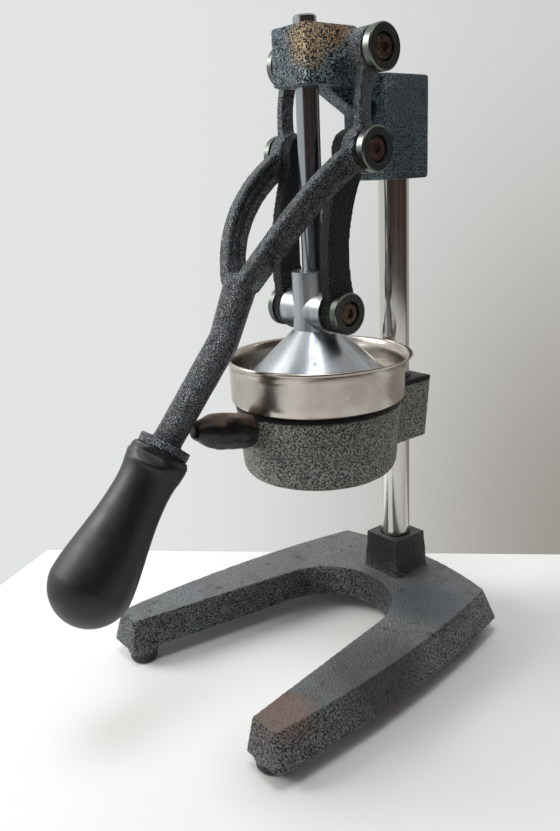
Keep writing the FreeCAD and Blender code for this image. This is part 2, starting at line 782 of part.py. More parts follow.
def rod_screw():
    # Screw and washer that hold the cone on its rod, inside the cone.
    body = new_body("rod_washer")
    bottom = "(cone_ceiling_z - rod_washer_thickness)"
    turn(body, "ring", [
        ("rod_screw_radius + side_gap", bottom),
        ("rod_washer_radius", bottom),
        ("rod_washer_radius", "cone_ceiling_z"),
        ("rod_screw_radius + side_gap", "cone_ceiling_z"),
    ])
    body = new_body("rod_screw")
    turn(body, "screw", [
        ("0", f"{bottom} - rod_screw_head_height"),
        ("rod_screw_head_radius - rod_screw_head_edge", f"{bottom} - rod_screw_head_height"),
        ("rod_screw_head_radius", f"{bottom} - rod_screw_head_height + rod_screw_head_edge"),
        ("rod_screw_head_radius", bottom),
        ("rod_screw_radius", bottom),
        ("rod_screw_radius", "cone_ceiling_z + rod_screw_length"),
        ("0", "cone_ceiling_z + rod_screw_length"),
    ])


def lower_link(side_name, side):
    # Curved flat link between the fork's boss and the cone's boss, drawn along its length
    # from the cone pivot. The same piece serves both sides.
    body = new_body(f"lower_link_{side_name}", z="cone_pivot_z", axis=AGAINST_X,
                    angle="link_turn")
    inner = "link_inner" if side > 0 else "-link_outer"
    outline = new_sketch(body, "web", "YZ_Plane", inner)
    half = "(link_length / 2 - link_web_start)"
    front_rise = "(link_web_front - link_web_end)"
    rear_rise = "(link_web_end - link_web_rear)"
    draw(outline, [
        ("-link_web_end", "link_web_start",
         f"({half} ^ 2 + {front_rise} ^ 2) / (2 * {front_rise})"),
        ("link_web_end", "link_web_start"),
        ("link_web_end", "link_length - link_web_start",
         f"-({half} ^ 2 + {rear_rise} ^ 2) / (2 * {rear_rise})"),
        ("-link_web_end", "link_length - link_web_start"),
    ])
    pad(body, outline, "link_thickness")
    for name, height in (("lower", "0"), ("upper", "link_length")):
        eye = new_sketch(body, f"{name}_eye", "YZ_Plane", inner)
        draw_circle(eye, "0", height, "eye_radius")
        pad(body, eye, "link_thickness")
    pins = new_sketch(body, "pin_holes", "YZ_Plane", inner)
    for height in ("0", "link_length"):
        draw_circle(pins, "0", height, "pin_radius + pin_clearance")
    cut(body, pins, "link_thickness", backwards=True)


def pivot(place, side_name, side, y, z, seat, hub, pin_end):
    # A recessed washer and the shoulder screw in it, turned about the pivot's axis.
    angle = "0" if side > 0 else "180"
    face = f"({seat} + {hub} + washer_thickness)"
    body = new_body(f"{place}_pivot_washer_{side_name}", y=y, z=z, angle=angle)
    turn(body, "disc", [
        (seat, "pin_radius + pin_clearance"),
        (f"{face} - washer_recess", "pin_radius + pin_clearance"),
        (f"{face} - washer_recess", "washer_recess_radius - washer_rim"),
        (face, "washer_recess_radius"),
        (face, "washer_radius - washer_rim"),
        (f"{face} - washer_rim", "washer_radius"),
        (f"{seat} + {hub}", "washer_radius"),
        (f"{seat} + {hub}", "washer_hub_radius"),
        (seat, "washer_hub_radius"),
    ], "XY_Plane", "H_Axis")
    body = new_body(f"{place}_pivot_screw_{side_name}", y=y, z=z, angle=angle)
    head_face = f"({face} - washer_recess + screw_head_height)"
    turn(body, "screw", [
        (pin_end, "0"),
        (head_face, "0"),
        (head_face, "screw_head_radius - washer_rim"),
        (f"{head_face} - washer_rim", "screw_head_radius"),
        (f"{face} - washer_recess", "screw_head_radius"),
        (f"{face} - washer_recess", "pin_radius"),
        (pin_end, "pin_radius"),
    ], "XY_Plane", "H_Axis")
    socket = new_sketch(body, "socket", "YZ_Plane", head_face)
    draw(socket, hexagon("socket_radius"))
    cut(body, socket, "socket_depth")


def cup_holder():
    # Cast cup with a drain opening and a block that clamps on the column.
    body = new_body("cup_holder")
    side = new_sketch(body, "clamp", "YZ_Plane")
    draw(side, [
        ("clamp_front", "cup_top"),
        ("clamp_front", "clamp_bottom"),
        ("clamp_rear - clamp_rear_draft", "clamp_bottom"),
        ("clamp_rear", "cup_top"),
    ])
    pad(body, side, "2 * clamp_half_width", both_ways=True)
    slope = "((cup_top_radius - cup_bottom_radius) / (cup_top - cup_bottom))"
    turn(body, "cup", [
        ("0", "cup_top"),
        ("0", "cup_bottom"),
        ("cup_bottom_radius - cup_corner", "cup_bottom"),
        (f"cup_bottom_radius + {slope} * cup_corner", "cup_bottom + cup_corner", "cup_corner"),
        ("cup_top_radius", "cup_top"),
    ])
    lug = tilted_sketch(body, "bumper_lug", "0")
    draw_circle(lug, "0", "0", "bumper_root_radius")
    stub = pad(body, lug, "2 * bumper_lug_thickness")
    stub.Reversed = True
    doc.recompute()
    turn_away(body, "inside", [
        ("0", "cup_bottom - cut_overrun"),
        ("cup_drain_radius", "cup_bottom - cut_overrun"),
        ("cup_drain_radius", "cup_bottom + cup_floor"),
        ("cup_bottom_radius - cup_wall", "cup_bottom + cup_floor"),
        ("cup_top_radius - cup_wall", "cup_top - cup_mouth"),
        ("cup_top_radius - cup_wall", "cup_top + cut_overrun"),
        ("0", "cup_top + cut_overrun"),
    ])
    bore(body, "column_bore", "XY_Plane", "cup_top", "0", "column_y",
         "column_radius + seat_clearance")
    bore(body, "screw_hole", "XZ_Plane", "-clamp_rear", "0", "holder_set_screw_z",
         "set_screw_radius + seat_clearance", "clamp_rear - column_y", backwards=True)
    spot_face = tilted_sketch(body, "spot_face", "bumper_lug_thickness")
    draw_circle(spot_face, "0", "0", "bumper_screw_head_radius + spot_face_gap")
    cut(body, spot_face, "cup_wall")
    screw_hole = tilted_sketch(body, "bumper_screw_hole", "0")
    draw_circle(screw_hole, "0", "0", "bumper_screw_radius + seat_clearance")
    cut(body, screw_hole, "2 * bumper_lug_thickness")


def bowl():
    # Spun bowl: rolled rim, straight wall, a ledge that sits on the cup, a step for the
    # strainer cone and a funnel to the spout.
    body = new_body("bowl")
    inner = "(cup_top_radius - cup_wall - bowl_fit)"
    turn(body, "wall", [
        ("bowl_spout_radius", "bowl_spout_bottom"),
        ("bowl_spout_radius + bowl_wall", "bowl_spout_bottom"),
        ("bowl_spout_radius + bowl_wall", "bowl_floor_z - bowl_wall"),
        (f"{inner} - bowl_step_width", "bowl_step_z - bowl_wall"),
        (inner, "bowl_step_z - bowl_wall"),
        (inner, "bowl_seat_z"),
        ("bowl_radius - bowl_taper - bowl_corner", "bowl_seat_z"),
        ("bowl_radius - bowl_taper", "bowl_seat_z + bowl_corner"),
        ("bowl_radius", "bowl_rim_z - bowl_bead_height"),
        ("bowl_radius", "bowl_rim_z", "bowl_bead_radius"),
        ("bowl_radius - bowl_wall", "bowl_rim_z - bowl_wall"),
        ("bowl_radius - bowl_taper - bowl_wall", "bowl_seat_z + bowl_wall"),
        (f"{inner} - bowl_wall", "bowl_seat_z + bowl_wall"),
        (f"{inner} - bowl_wall", "bowl_step_z"),
        (f"{inner} - bowl_step_width", "bowl_step_z"),
        ("bowl_spout_radius", "bowl_floor_z"),
    ])


def strainer_cone():
    # Ribbed hollow cone on a flange, with drain slots, standing on the bowl's inner step.
    body = new_body("strainer_cone")
    flange = "(cup_top_radius - cup_wall - 2 * bowl_fit - bowl_wall)"
    flange_top = "(bowl_step_z + strainer_flange)"
    turn(body, "cone", [
        ("0", "strainer_top_z - strainer_wall"),
        ("strainer_foot_radius - strainer_wall", "bowl_step_z"),
        (flange, "bowl_step_z"),
        (flange, flange_top),
        ("strainer_foot_radius", flange_top),
        ("strainer_tip_radius", "strainer_top_z - strainer_tip_drop"),
        ("0", "strainer_top_z"),
    ])
    rib = new_sketch(body, "rib", "XZ_Plane")
    draw(rib, [
        ("strainer_tip_radius", "strainer_top_z - strainer_tip_drop - cut_overrun"),
        ("strainer_foot_radius - rib_height", f"{flange_top} - cut_overrun"),
        ("strainer_foot_radius + rib_height", f"{flange_top} - cut_overrun"),
        ("strainer_foot_radius + rib_height", f"{flange_top} + cut_overrun"),
        ("strainer_tip_radius", "strainer_top_z - strainer_tip_drop + rib_height"),
    ])
    one_rib = pad(body, rib, "rib_thickness", both_ways=True)
    repeat_round(body, one_rib, "Z_Axis", "strainer_ribs")
    slot = new_sketch(body, "slot", "XY_Plane", "strainer_top_z")
    between = "(180 / strainer_ribs)"
    near = "slot_place"
    far = "(slot_place + slot_length)"
    draw(slot, [
        (f"{near} * cos({between}) + slot_width / 2 * sin({between})",
         f"{near} * sin({between}) - slot_width / 2 * cos({between})"),
        (f"{far} * cos({between}) + slot_width / 2 * sin({between})",
         f"{far} * sin({between}) - slot_width / 2 * cos({between})"),
        (f"{far} * cos({between}) - slot_width / 2 * sin({between})",
         f"{far} * sin({between}) + slot_width / 2 * cos({between})"),
        (f"{near} * cos({between}) - slot_width / 2 * sin({between})",
         f"{near} * sin({between}) + slot_width / 2 * cos({between})"),
    ])
    one_slot = cut(body, slot, "strainer_top_z - bowl_step_z + cut_overrun")
    repeat_round(body, one_slot, "Z_Axis", "strainer_ribs")


def tilted_sketch(body, name, inset):
    """A sketch square to the bumper's axis, set in from the bumper's seat."""
    sketch = new_sketch(body, name, "XZ_Plane")
    sketch.AttachmentOffset = Placement(Vector(), Rotation(AGAINST_X, size("bumper_rise")))
    sketch.setExpression("AttachmentOffset.Rotation.Angle", bound("bumper_rise"))
    sketch.setExpression("AttachmentOffset.Base.y",
                         bound(f"bumper_z - ({inset}) * sin(bumper_rise)"))
    sketch.setExpression("AttachmentOffset.Base.z", bound(
        f"cup_top_radius + bumper_lug - ({inset}) * cos(bumper_rise)"))
    return sketch


def bumper():
    # Rubber stop for the handle, on the cup's lug, with the screw that holds it.
    seat = "-(cup_top_radius + bumper_lug)"
    body = new_body("bumper", y=seat, z="bumper_z", axis=ALONG_X, angle="90 - bumper_rise")
    hole = "(bumper_screw_length - bumper_lug_thickness + side_gap)"
    belly_rise = "(bumper_radius - bumper_root_radius)"
    taper = "(bumper_radius - bumper_nose_radius)"
    taper_length = "(bumper_length - bumper_nose_round - bumper_belly)"
    turn(body, "plug", [
        ("bumper_screw_radius + seat_clearance", "0"),
        ("bumper_root_radius", "0"),
        ("bumper_radius", "bumper_belly",
         f"(bumper_belly ^ 2 + {belly_rise} ^ 2) / (2 * {belly_rise})"),
        ("bumper_nose_radius", "bumper_length - bumper_nose_round",
         f"({taper_length} ^ 2 + {taper} ^ 2) / (2 * {taper})"),
        ("bumper_nose_radius - bumper_nose_round", "bumper_length", "bumper_nose_round"),
        ("0", "bumper_length"),
        ("0", hole),
        ("bumper_screw_radius + seat_clearance", hole),
    ])
    body = new_body("bumper_screw", y=seat, z="bumper_z", axis=ALONG_X,
                    angle="90 - bumper_rise")
    turn(body, "screw", [
        ("0", "-bumper_lug_thickness - bumper_screw_head_height"),
        ("bumper_screw_head_radius", "-bumper_lug_thickness - bumper_screw_head_height"),
        ("bumper_screw_head_radius", "-bumper_lug_thickness"),
        ("bumper_screw_radius", "-bumper_lug_thickness"),
        ("bumper_screw_radius", "bumper_screw_length - bumper_lug_thickness"),
        ("0", "bumper_screw_length - bumper_lug_thickness"),
    ])


# Shares of the fork arm's length: where its sections stand, and how far to each side of one its
# direction is read.
ARM_SECTIONS = (0, 0.2, 0.45, 0.7, 0.88, 1)
ARM_STEP = 0.02


def arm_path(share):
    """A point on the fork arm's middle line, from the fork pivot (0) to the bar (1)."""
    start = Vector(0, size("fork_pivot_y"), size("fork_pivot_z"))
    finish = Vector(0, size("fork_end_y"), size("fork_end_z"))
    chord = finish - start
    chord_slope = math.atan2(-chord.z, -chord.y)
    half_turn = chord_slope - math.radians(size("fork_start_slope"))
    radius = chord.Length / (2 * math.sin(half_turn))
    first = chord_slope - half_turn
    slope = first + 2 * half_turn * share
    forward = radius * (math.sin(slope) - math.sin(first))
    down = radius * (math.cos(first) - math.cos(slope))
    spread = size("fork_spread") - size("fork_join")
    side = size("fork_join") + spread * (1 - share ** size("fork_curve"))
    return Vector(side, start.y - forward, start.z - down)


def station(body, name, point, direction):
    """A sketch square to a direction, at a point of the handle casting."""
    sketch = body.newObject("Sketcher::SketchObject", f"{body.Name}_{name}")
    sketch.AttachmentSupport = (origin_plane(body, "XY_Plane"), "")
    sketch.MapMode = "FlatFace"
    sketch.AttachmentOffset = Placement(point, Rotation(ALONG_X, Vector(), direction, "ZXY"))
    return sketch


def on_crank(along, across):
    """A point beside the line from the head pivot to the fork pivot."""
    return (f"head_pivot_y - ({along}) * sin(crank_lean) + ({across}) * cos(crank_lean)",
            f"head_pivot_z - ({along}) * cos(crank_lean) - ({across}) * sin(crank_lean)")


def handle_casting():
    # One casting: collar, tapered bar, fork, two bosses and two upper arms with eyes.
    body = new_body("handle_casting")
    slope = math.radians(size("bar_slope"))
    bar_way = Vector(0, -math.cos(slope), -math.sin(slope))
    grip_slope = math.radians(size("grip_slope"))
    grip_way = Vector(0, -math.cos(grip_slope), -math.sin(grip_slope))
    fork_end = Vector(0, size("fork_end_y"), size("fork_end_z"))
    bend = Vector(0, size("bar_bend_y"), size("bar_bend_z"))
    collar = Vector(0, size("collar_y"), size("collar_z"))
    nose = arm_path(size("bar_nose_share"))
    nose.x = 0
    rings = []
    for name, point, way, radius in (
            ("nose", nose, fork_end - nose, "bar_nose_radius"),
            ("fork_end", fork_end, bend - nose, "bar_top_radius"),
            ("bend", bend, bar_way, "bar_radius"),
            ("collar_end", collar, bar_way, "bar_end_radius")):
        ring = station(body, name, point, way)
        draw_circle(ring, "0", "0", radius)
        rings.append(ring)
    loft(body, "bar", rings)
    sections = []
    for place, share in enumerate(ARM_SECTIONS):
        way = arm_path(min(share + ARM_STEP, 1)) - arm_path(max(share - ARM_STEP, 0))
        section = station(body, f"arm_{place}", arm_path(share), way)
        draw(section, [
            ("fork_arm_width / 2", "0"),
            ("fork_arm_width / 2 - fork_ridge", "fork_arm_depth / 2"),
            ("-fork_arm_width / 2 + fork_ridge", "fork_arm_depth / 2"),
            ("-fork_arm_width / 2", "0"),
            ("-fork_arm_width / 2 + fork_ridge", "-fork_arm_depth / 2"),
            ("fork_arm_width / 2 - fork_ridge", "-fork_arm_depth / 2"),
        ])
        sections.append(section)
    arm = loft(body, "arm", sections, ruled=False)
    mirror_across(body, arm, "YZ_Plane")
    upper = new_sketch(body, "upper_arm", "YZ_Plane", "eye_inner + upper_arm_inset")
    half = "(crank_length / 2 - upper_arm_start)"
    draw(upper, [
        (*on_crank("upper_arm_start", "-upper_arm_front"),
         f"-({half} ^ 2 + upper_arm_front_rise ^ 2) / (2 * upper_arm_front_rise)"),
        on_crank("upper_arm_start", "upper_arm_rear"),
        (*on_crank("crank_length - upper_arm_start", "upper_arm_rear"),
         f"({half} ^ 2 + upper_arm_rear_rise ^ 2) / (2 * upper_arm_rear_rise)"),
        on_crank("crank_length - upper_arm_start", "-upper_arm_front"),
    ])
    upper_arm = pad(body, upper, "upper_arm_thickness")
    mirror_across(body, upper_arm, "YZ_Plane")
    for name, along, radius in (("fork_boss", "crank_length", "boss_radius"),
                                ("head_eye", "0", "eye_radius")):
        ring = new_sketch(body, name, "YZ_Plane", "eye_inner")
        draw_circle(ring, *on_crank(along, "0"), radius)
        boss = pad(body, ring, "eye_thickness")
        mirror_across(body, boss, "YZ_Plane")
    flange = station(body, "collar", collar, grip_way)
    draw_circle(flange, "0", "0", "collar_radius")
    pad(body, flange, "collar_thickness")
    tang = station(body, "tang", collar, grip_way)
    draw_circle(tang, "0", "0", "tang_radius")
    pad(body, tang, "collar_thickness + tang_length")
    pins = new_sketch(body, "pin_holes", "YZ_Plane")
    for along in ("0", "crank_length"):
        draw_circle(pins, *on_crank(along, "0"), "pin_radius + pin_clearance")
    cut(body, pins, "2 * (eye_outer + cut_overrun)", both_ways=True)


def grip():
    # Rubber grip, pear-shaped, with a bore for the handle's tang.
    body = new_body("grip", y="collar_y - collar_thickness * cos(grip_slope)",
                    z="collar_z - collar_thickness * sin(grip_slope)",
                    axis=ALONG_X, angle="90 + grip_slope")
    shoulder = "(grip_length - grip_bulb_radius)"
    waist_bow = bow("grip_flank - grip_waist", "grip_flank_radius - grip_waist_radius",
                    "grip_waist_sag")
    flank_bow = bow(f"{shoulder} - grip_flank", "grip_bulb_radius - grip_flank_radius",
                    "grip_bulb_sag")
    turn(body, "outline", [
        ("tang_radius + tang_clearance", "grip_gap"),
        ("grip_top_radius - grip_edge", "grip_gap"),
        ("grip_top_radius", "grip_gap + grip_edge"),
        ("grip_waist_radius", "grip_waist"),
        ("grip_flank_radius", "grip_flank", f"-{waist_bow}"),
        ("grip_bulb_radius", shoulder, flank_bow),
        ("0", "grip_length", "grip_bulb_radius"),
        ("0", "tang_length + grip_gap"),
        ("tang_radius + tang_clearance", "tang_length + grip_gap"),
    ])


def check_and_write():
    """Every object is sound before any file is written."""
    doc.recompute()
    for item in doc.Objects:
        if "Invalid" in item.State or "Error" in item.State:
            raise RuntimeError(f"{item.Name} failed: {item.State}")
    pieces = [item for item in doc.Objects if item.TypeId == "PartDesign::Body"]
    for piece in pieces:
        if piece.Shape.isNull() or not piece.Shape.isValid():
            raise RuntimeError(f"{piece.Label} has no sound shape")
    os.makedirs("parts", exist_ok=True)
    for piece in pieces:
        piece.Shape.exportStep(f"parts/{piece.Label}.step")
    print(len(pieces), "pieces")


base_casting()
for foot_name, (foot_x, foot_y) in FEET.items():
    foot(foot_name, foot_x, foot_y)
foot_screws()
column()
column_bolt()
head_casting()
set_screw("head_set_screw", "head_set_screw_z", "rear_block_rear")
cup_holder()
set_screw("holder_set_screw", "holder_set_screw_z", "clamp_rear")
bowl()
strainer_cone()
bumper()
press_rod()
press_cone()
rod_screw()
handle_casting()
grip()
for side_name, side in SIDES.items():
    lower_link(side_name, side)
    pivot("head", side_name, side, "head_pivot_y", "head_pivot_z", "(eye_outer + side_gap)",
          "washer_hub", "(link_outer - pin_depth)")
    pivot("fork", side_name, side, "fork_pivot_y", "fork_pivot_z", "eye_outer",
          "washer_hub", "(eye_inner + side_gap)")
    pivot("cone", side_name, side, "0", "cone_pivot_z", "(link_outer + side_gap)",
          "cone_washer_hub", "(rod_radius + pin_hole_floor + side_gap)")
check_and_write()
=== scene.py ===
"""The looks of a lever citrus juice press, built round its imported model. All sizes are in metres."""
import json
import math

import bmesh
import bpy
from mathutils import Matrix, Vector, noise

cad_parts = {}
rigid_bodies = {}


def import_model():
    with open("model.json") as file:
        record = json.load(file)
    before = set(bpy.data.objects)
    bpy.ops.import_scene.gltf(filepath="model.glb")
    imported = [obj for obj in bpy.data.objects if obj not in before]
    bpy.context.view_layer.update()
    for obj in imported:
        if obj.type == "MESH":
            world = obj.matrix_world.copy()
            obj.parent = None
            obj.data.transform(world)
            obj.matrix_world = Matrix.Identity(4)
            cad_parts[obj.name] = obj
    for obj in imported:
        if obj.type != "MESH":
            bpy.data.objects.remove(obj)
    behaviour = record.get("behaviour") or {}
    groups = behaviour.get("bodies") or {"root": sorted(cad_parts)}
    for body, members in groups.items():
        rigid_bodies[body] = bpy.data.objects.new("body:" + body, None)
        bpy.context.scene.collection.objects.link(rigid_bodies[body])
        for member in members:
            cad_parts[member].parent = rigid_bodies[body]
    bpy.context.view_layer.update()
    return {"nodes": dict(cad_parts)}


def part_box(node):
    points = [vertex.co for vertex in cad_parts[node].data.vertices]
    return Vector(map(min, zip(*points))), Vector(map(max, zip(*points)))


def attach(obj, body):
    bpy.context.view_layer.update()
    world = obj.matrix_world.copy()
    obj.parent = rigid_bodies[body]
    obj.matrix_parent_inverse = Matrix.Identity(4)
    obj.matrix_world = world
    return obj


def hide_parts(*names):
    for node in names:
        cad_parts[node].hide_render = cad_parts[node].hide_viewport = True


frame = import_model()
nodes = frame["nodes"]
scene = bpy.context.scene
scene.view_settings.view_transform = "Standard"


# The camera stands where the photograph was taken from: near the press, in front of it and to its
# right, a little below the head, looking slightly down and tilted by hand.
camera = bpy.data.objects.new("camera", bpy.data.cameras.new("camera"))
scene.collection.objects.link(camera)
scene.camera = camera
camera_place = Vector((0.3983, -0.3041, 0.3428))
camera_azimuth = math.radians(51.60)
camera_pitch = math.radians(16.89)
camera_roll = math.radians(-2.88)
camera_turn = (
    Matrix.Rotation(camera_azimuth, 4, "Z")
    @ Matrix.Rotation(math.pi / 2 - camera_pitch, 4, "X")
    @ Matrix.Rotation(camera_roll, 4, "Z")
)
camera.matrix_world = Matrix.Translation(camera_place) @ camera_turn
camera.data.sensor_fit = "VERTICAL"
camera.data.sensor_height = 36.0
camera.data.lens = 34.08
camera.data.clip_start = 0.01


# The table is a white laminate board. The press stands near its rear left corner, so that its back
# edge crosses the picture behind the feet.
class Value:
    """One output of a node. Plain arithmetic on it adds Math nodes."""

    def __init__(self, finish, socket):
        self.finish = finish
        self.socket = socket

    def maths(self, operation, *values):
        return self.finish.node("ShaderNodeMath", {"operation": operation}, dict(enumerate(values)))

    def __add__(self, other):
        return self.maths("ADD", self, other)

    def __radd__(self, other):
        return self.maths("ADD", other, self)

    def __sub__(self, other):
        return self.maths("SUBTRACT", self, other)

    def __rsub__(self, other):
        return self.maths("SUBTRACT", other, self)

    def __mul__(self, other):
        return self.maths("MULTIPLY", self, other)

    def __rmul__(self, other):
        return self.maths("MULTIPLY", other, self)

    def __pow__(self, other):
        return self.maths("POWER", self, other)


class Finish:
    """The nodes of one material or of the room, with every place in millimetres."""

    def __init__(self, owner):
        owner.use_nodes = True
        self.owner = owner
        self.tree = owner.node_tree
        self.tree.nodes.clear()

    def node(self, kind, settings, sockets, output=0):
        made = self.tree.nodes.new(kind)
        for name, setting in settings.items():
            setattr(made, name, setting)
        for name, value in sockets.items():
            if isinstance(value, Value):
                self.tree.links.new(value.socket, made.inputs[name])
            else:
                made.inputs[name].default_value = value
        return Value(self, made.outputs[output]) if made.outputs else None

    def place(self, stretch=(1, 1, 1)):
        """Where a point lies on its piece. A stretch of 0.1 draws a pattern out to ten times its length."""
        metres = self.node("ShaderNodeTexCoord", {}, {}, "Object")
        scale = [1000 * share for share in stretch]
        return self.node("ShaderNodeVectorMath", {"operation": "MULTIPLY"}, {0: metres, 1: scale})

    def split(self, vector):
        """The three parts of a place or a direction."""
        outputs = self.node("ShaderNodeSeparateXYZ", {}, {0: vector}).socket.node.outputs
        return [Value(self, socket) for socket in outputs]

    def upward(self):
        """1 on a face that looks straight up, 0 on an upright one."""
        return self.split(self.node("ShaderNodeNewGeometry", {}, {}, "Normal"))[2]

    def clouds(self, place, size, detail=2.0, roughness=0.5):
        sockets = {"Vector": place, "Scale": 1 / size, "Detail": detail, "Roughness": roughness}
        return self.node("ShaderNodeTexNoise", {}, sockets)

    def cells(self, place, size):
        return self.node("ShaderNodeTexVoronoi", {}, {"Vector": place, "Scale": 1 / size})

    def ease(self, value, start, end):
        """From 0 to 1 as the value goes from start to end."""
        sockets = {"Value": value, "From Min": start, "From Max": end}
        return self.node("ShaderNodeMapRange", {"interpolation_type": "SMOOTHSTEP"}, sockets)

    def blend(self, share, first, second):
        return self.node("ShaderNodeMix", {"data_type": "RGBA"}, {0: share, 6: first, 7: second}, 2)

    def relief(self, height, depth):
        """Bumps that stand as high as depth, in millimetres."""
        return self.node("ShaderNodeBump", {}, {"Height": height, "Distance": depth / 1000})

    def shade(self, **sockets):
        named = {name.replace("_", " "): value for name, value in sockets.items()}
        shader = self.node("ShaderNodeBsdfPrincipled", {}, named)
        self.node("ShaderNodeOutputMaterial", {}, {"Surface": shader})
        return self.owner


def tone(red, green, blue):
    """A colour as a screen shows it, from 0 to 255, as the light that it stands for."""
    shares = [level / 255 for level in (red, green, blue)]
    light = [share / 12.92 if share < 0.04045 else ((share + 0.055) / 1.055) ** 2.4 for share in shares]
    return (*light, 1.0)


def new_piece(name, data):
    piece = bpy.data.objects.new(name, data)
    scene.collection.objects.link(piece)
    return piece


def mesh_from(shape, name):
    mesh = bpy.data.meshes.new(name)
    shape.to_mesh(mesh)
    shape.free()
    return mesh


def table_board():
    corner = Vector((-0.3083, -0.0476, 0))
    length = 2.4
    back_edge = Vector((0.717, 0.697, 0)) * length
    left_edge = Vector((0.524, -0.851, 0)) * length
    thickness = 0.028
    edge_radius = 0.002
    shape = bmesh.new()
    outline = [corner, corner + left_edge, corner + left_edge + back_edge, corner + back_edge]
    top = shape.faces.new([shape.verts.new(point) for point in outline])
    lower = bmesh.ops.extrude_face_region(shape, geom=[top])
    moved = [item for item in lower["geom"] if isinstance(item, bmesh.types.BMVert)]
    bmesh.ops.translate(shape, verts=moved, vec=Vector((0, 0, -thickness)))
    bmesh.ops.recalc_face_normals(shape, faces=shape.faces)
    bmesh.ops.bevel(shape, geom=shape.edges[:], offset=edge_radius, segments=3, affect="EDGES")
    board = new_piece("table", mesh_from(shape, "table"))
    laminate = Finish(bpy.data.materials.new("white_laminate"))
    place = laminate.place()
    haze = laminate.clouds(place, 180, 3)
    finish = laminate.shade(
        Base_Color=laminate.blend(haze, tone(236, 236, 234), tone(242, 242, 240)),
        Roughness=0.42 + 0.1 * laminate.clouds(place, 40, 4),
        Normal=laminate.relief(laminate.clouds(place, 1.6, 3), 0.02),
    )
    board.data.materials.append(finish)


table_board()


# The room is a pale wall with painted shade, a little darker towards the right and the bottom. Diffuse
# light comes from all sides of it alike, and metal shows it as the camera does.
def room():
    sky = Finish(bpy.data.worlds.new("room"))
    scene.world = sky.owner
    image_right = camera_turn.to_3x3() @ Vector((1, 0, 0))
    image_up = camera_turn.to_3x3() @ Vector((0, 1, 0))
    direction = sky.node("ShaderNodeTexCoord", {}, {}, "Generated")
    dot = {"operation": "DOT_PRODUCT"}
    across = sky.node("ShaderNodeVectorMath", dot, {0: direction, 1: image_right}, 1)
    upward = sky.node("ShaderNodeVectorMath", dot, {0: direction, 1: image_up}, 1)
    right = sky.ease(across, -0.15, 0.42)
    low = 1 - sky.ease(upward, -0.18, 0.5)
    # Painted shade: the wall darkens towards the right and the bottom.
    wall = sky.blend(right * (0.3 + 0.7 * low), tone(226, 228, 227), tone(150, 144, 137))
    seen = sky.node("ShaderNodeBackground", {}, {"Color": wall, "Strength": 1.0})
    ambient = sky.node("ShaderNodeBackground", {}, {"Color": tone(246, 246, 246), "Strength": 0.7})
    camera_ray = sky.node("ShaderNodeLightPath", {}, {}, "Is Camera Ray")
    glossy_ray = sky.node("ShaderNodeLightPath", {}, {}, "Is Glossy Ray")
    clear_ray = sky.node("ShaderNodeLightPath", {}, {}, "Is Transmission Ray")
    shown = camera_ray + glossy_ray + clear_ray
    light = sky.node("ShaderNodeMixShader", {}, {0: shown, 1: ambient, 2: seen})
    sky.node("ShaderNodeOutputWorld", {}, {"Surface": light})


room()


# The light is a large soft window on the left and above, with a weak skylight overhead. Both are
# aimed at the middle of the press.
def lamp(name, direction, distance, size, power, colour):
    target = Vector((0, 0.03, 0.2))
    light = bpy.data.lights.new(name, "AREA")
    light.shape = "DISK"
    light.size = size
    light.energy = power
    light.color = colour
    holder = new_piece(name, light)
    holder.location = target + Vector(direction).normalized() * distance
    holder.rotation_euler = (holder.location - target).to_track_quat("Z", "Y").to_euler()
    holder.visible_camera = False


daylight = (1.0, 0.99, 0.975)
sky_blue = (0.9, 0.95, 1.0)
lamp("window", direction=(-0.62, -0.62, 0.62), distance=2.3, size=1.2, power=42, colour=daylight)
lamp("skylight", direction=(0.14, -0.2, 0.98), distance=1.5, size=0.6, power=7, colour=sky_blue)


# A dark sheet hangs in a half round behind the camera, clear of the table. It stands for the darker
# rest of the room as painted reflection and painted shade: polished metal and paint show it, it dims
# the diffuse light from that side, and it casts no shadow.
def dark_screen():
    radius, height, clearance, steps = 0.8, 1.0, 0.12, 36
    start, end = math.radians(2), math.radians(158)
    shape = bmesh.new()
    rows = []
    for step in range(steps + 1):
        angle = start + (end - start) * step / steps
        foot = Vector((math.sin(angle) * radius, -math.cos(angle) * radius, clearance))
        rows.append([shape.verts.new(foot), shape.verts.new(foot + Vector((0, 0, height)))])
    for first, second in zip(rows, rows[1:]):
        shape.faces.new([first[0], first[1], second[1], second[0]])
    screen = new_piece("dark_screen", mesh_from(shape, "dark_screen"))
    screen.visible_camera = False
    screen.visible_shadow = False
    sheet_finish = Finish(bpy.data.materials.new("screen_felt"))
    # Painted reflection: near black with brown streaks, the room as metal shows it.
    reflection_streaks = sheet_finish.clouds(sheet_finish.place((1, 1, 0.1)), 130, 3)
    colour = sheet_finish.blend(sheet_finish.ease(reflection_streaks, 0.35, 0.7), tone(14, 13, 14), tone(88, 62, 48))
    screen.data.materials.append(sheet_finish.shade(Base_Color=colour, Roughness=0.9))


dark_screen()


